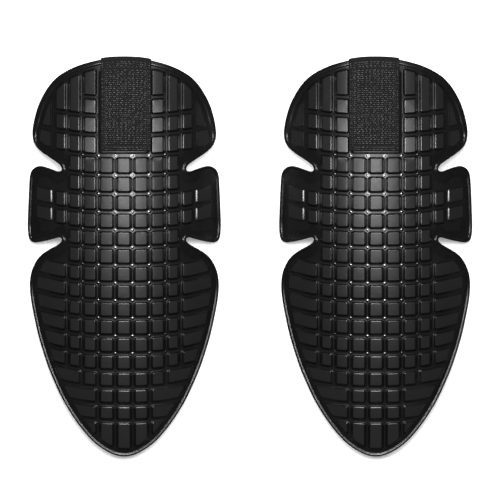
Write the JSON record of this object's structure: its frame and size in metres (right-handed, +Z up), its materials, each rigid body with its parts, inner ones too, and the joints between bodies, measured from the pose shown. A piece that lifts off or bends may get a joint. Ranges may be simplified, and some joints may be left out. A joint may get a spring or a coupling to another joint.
{
  "type": "knee guard pair",
  "caption": "Pair of flexible arched knee guards with raised block grids, notched side wings, foam cores and hook tape.",
  "frame": {"origin": "middle of the floor rectangle under the pair, which lies rim down", "axes": "+X from the left guard to the right guard, +Y towards the thigh ends, +Z up out of the blocks"},
  "size_m": [0.335, 0.3014, 0.044],
  "materials": {
    "shell": "satin",
    "foam": "matte",
    "lining": "matte",
    "hook_tape": "matte",
    "thread": "satin"
  },
  "bodies": {
    "left_knee": {"left_knee_shell": "shell", "left_knee_foam": "foam", "left_knee_lining": "lining"},
    "left_thigh": {"left_thigh_shell": "shell", "left_thigh_foam": "foam", "left_thigh_lining": "lining", "left_hook_strip": "hook_tape", "left_strip_stitching": "thread"},
    "left_shin": {"left_shin_shell": "shell", "left_shin_foam": "foam", "left_shin_lining": "lining"},
    "left_outer_wing": {"left_outer_wing_shell": "shell", "left_outer_wing_foam": "foam", "left_outer_wing_lining": "lining"},
    "left_inner_wing": {"left_inner_wing_shell": "shell", "left_inner_wing_foam": "foam", "left_inner_wing_lining": "lining"},
    "right_knee": {"right_knee_shell": "shell", "right_knee_foam": "foam", "right_knee_lining": "lining"},
    "right_thigh": {"right_thigh_shell": "shell", "right_thigh_foam": "foam", "right_thigh_lining": "lining", "right_hook_strip": "hook_tape", "right_strip_stitching": "thread"},
    "right_shin": {"right_shin_shell": "shell", "right_shin_foam": "foam", "right_shin_lining": "lining"},
    "right_outer_wing": {"right_outer_wing_shell": "shell", "right_outer_wing_foam": "foam", "right_outer_wing_lining": "lining"},
    "right_inner_wing": {"right_inner_wing_shell": "shell", "right_inner_wing_foam": "foam", "right_inner_wing_lining": "lining"}
  },
  "joints": [
    {"name": "left_thigh_flex", "type": "hinge", "parent": "left_knee", "child": "left_thigh", "pos_m": [-0.0947, 0.0617, 0.0344], "axis": [-1, 0, 0], "range_deg": [-10, 20], "stiffness_Nm_per_rad": 1.5},
    {"name": "left_shin_flex", "type": "hinge", "parent": "left_knee", "child": "left_shin", "pos_m": [-0.0947, 0.0075, 0.03443], "axis": [1, 0, 0], "range_deg": [-10, 20], "stiffness_Nm_per_rad": 1.5},
    {"name": "left_outer_wing_flex", "type": "hinge", "parent": "left_knee", "child": "left_outer_wing", "pos_m": [-0.1382, 0.0346, 0.02474], "axis": [0, -1, 0], "range_deg": [-12, 12], "stiffness_Nm_per_rad": 0.5},
    {"name": "left_inner_wing_flex", "type": "hinge", "parent": "left_knee", "child": "left_inner_wing", "pos_m": [-0.0512, 0.0346, 0.02474], "axis": [0, 1, 0], "range_deg": [-12, 12], "stiffness_Nm_per_rad": 0.5},
    {"name": "right_thigh_flex", "type": "hinge", "parent": "right_knee", "child": "right_thigh", "pos_m": [0.0947, 0.0617, 0.0344], "axis": [-1, 0, 0], "range_deg": [-10, 20], "stiffness_Nm_per_rad": 1.5},
    {"name": "right_shin_flex", "type": "hinge", "parent": "right_knee", "child": "right_shin", "pos_m": [0.0947, 0.0075, 0.03443], "axis": [1, 0, 0], "range_deg": [-10, 20], "stiffness_Nm_per_rad": 1.5},
    {"name": "right_outer_wing_flex", "type": "hinge", "parent": "right_knee", "child": "right_outer_wing", "pos_m": [0.1382, 0.0346, 0.02474], "axis": [0, 1, 0], "range_deg": [-12, 12], "stiffness_Nm_per_rad": 0.5},
    {"name": "right_inner_wing_flex", "type": "hinge", "parent": "right_knee", "child": "right_inner_wing", "pos_m": [0.0512, 0.0346, 0.02474], "axis": [0, -1, 0], "range_deg": [-12, 12], "stiffness_Nm_per_rad": 0.5},
    {"name": "pair_apart", "type": "slide", "parent": "left_knee", "child": "right_knee", "axis": [1, 0, 0], "range_m": [-0.03, 0.12]}
  ]
}
